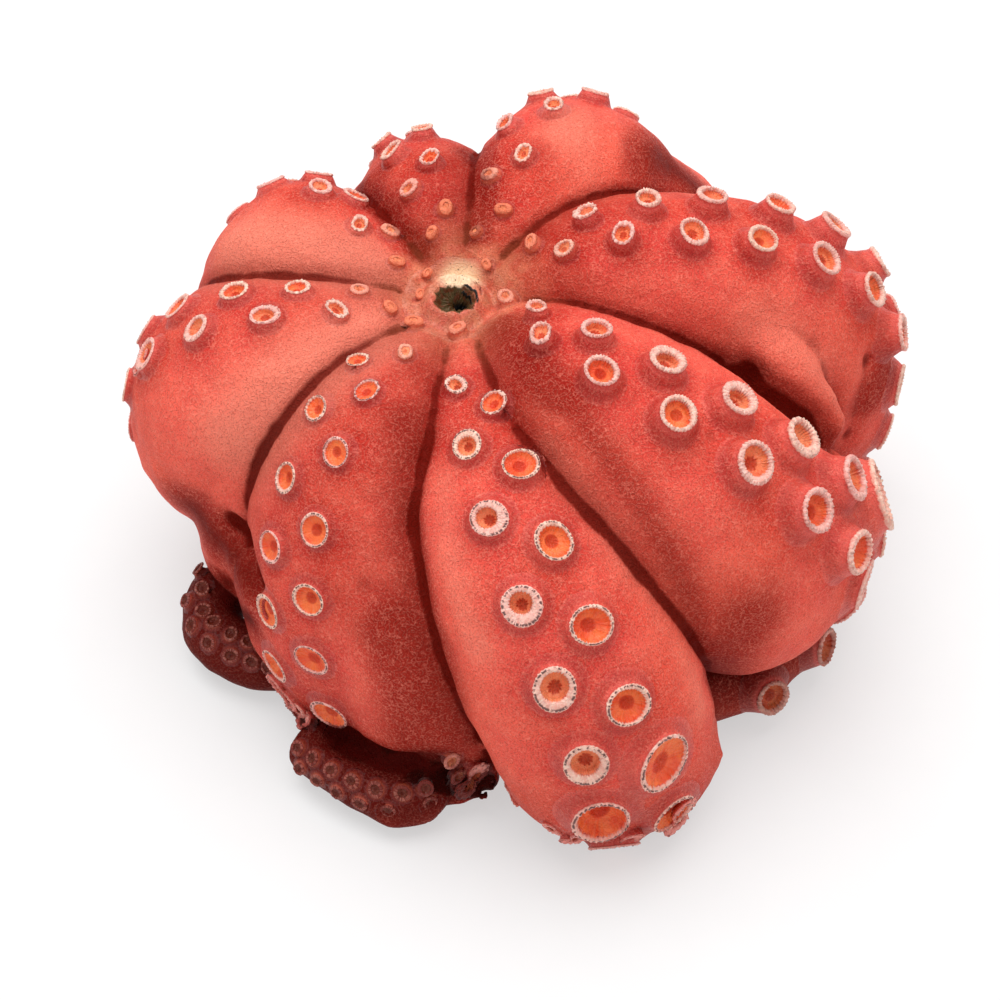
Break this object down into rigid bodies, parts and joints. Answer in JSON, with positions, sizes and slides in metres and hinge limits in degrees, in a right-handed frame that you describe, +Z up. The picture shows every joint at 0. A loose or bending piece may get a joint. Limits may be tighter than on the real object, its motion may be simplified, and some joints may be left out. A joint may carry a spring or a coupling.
{
  "type": "whole cooked octopus",
  "caption": "Whole cooked octopus heaped mouth upwards, its thick arms arching out, down and under, with two rows of round suckers along each.",
  "frame": {"origin": "middle of the model's box at the height of the floor that the octopus rests on", "axes": "+Z up out of the mouth; -Y towards the front arm, the one nearest the viewer in the picture; +X to the viewer's right"},
  "size_m": [0.2062, 0.1968, 0.1155],
  "materials": {
    "skin": "moist satin skin, salmon red, with pale rims and orange bowls on the suckers"
  },
  "bodies": {
    "root": {"octopus": "skin"}
  },
  "joints": []
}
